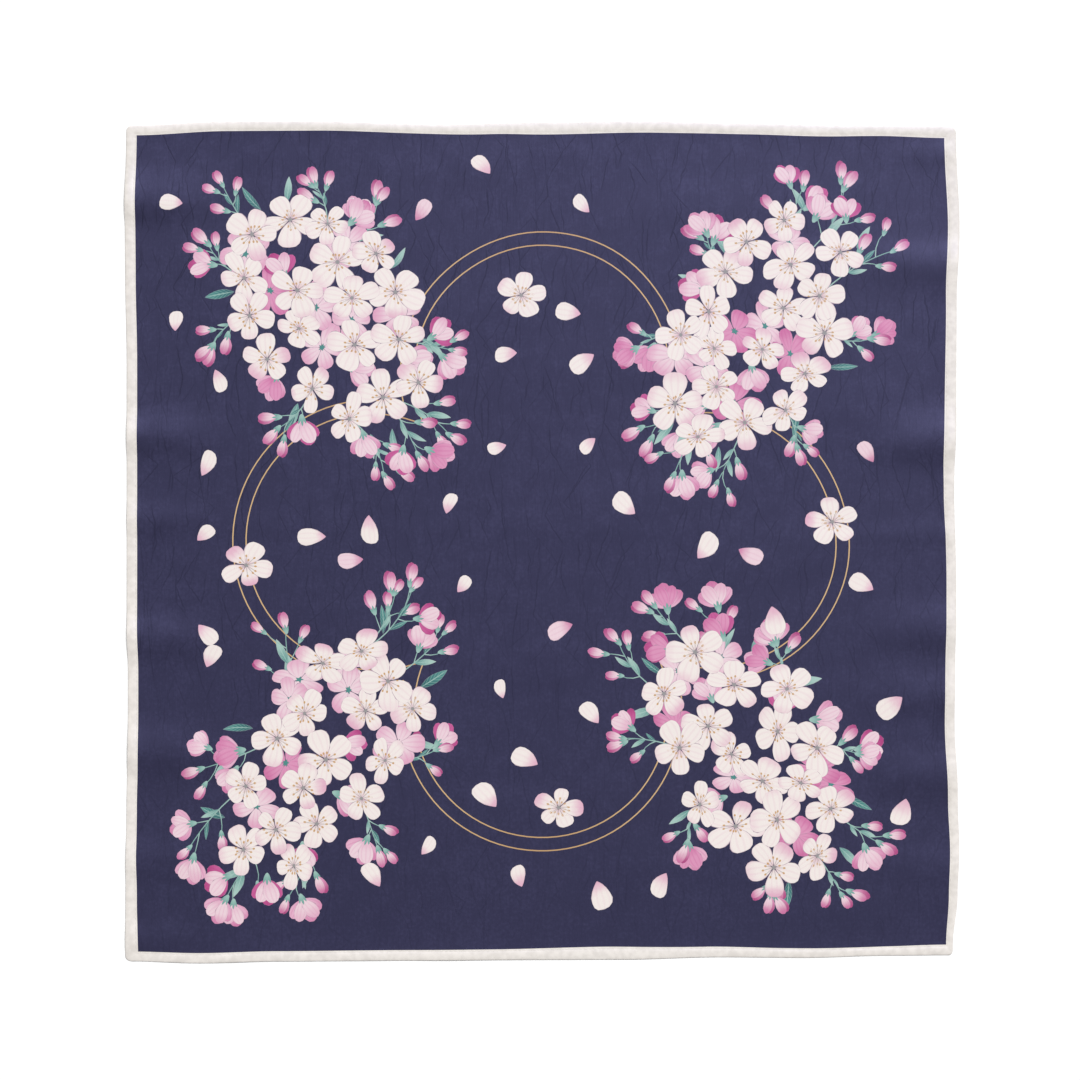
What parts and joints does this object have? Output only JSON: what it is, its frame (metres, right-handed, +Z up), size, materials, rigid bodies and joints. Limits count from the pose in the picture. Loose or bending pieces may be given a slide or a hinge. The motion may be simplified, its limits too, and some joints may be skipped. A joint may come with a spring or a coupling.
{
  "type": "handkerchief",
  "caption": "Square printed cotton handkerchief laid open and flat, with a navy flowered field, a narrow cream turned hem and soft folds at its sides.",
  "frame": {"origin": "middle of the cloth's outline, on the surface that it lies on", "axes": "+Z up, out of the printed face; +Y towards the cloth's upper edge; +X towards its right edge"},
  "size_m": [0.5026, 0.5068, 0.004],
  "materials": {
    "printed_cloth": "fine plain-woven cotton with a soft sheen, printed navy with pink and white blossoms, cream hem"
  },
  "bodies": {
    "root": {"handkerchief": "printed_cloth"}
  },
  "joints": []
}
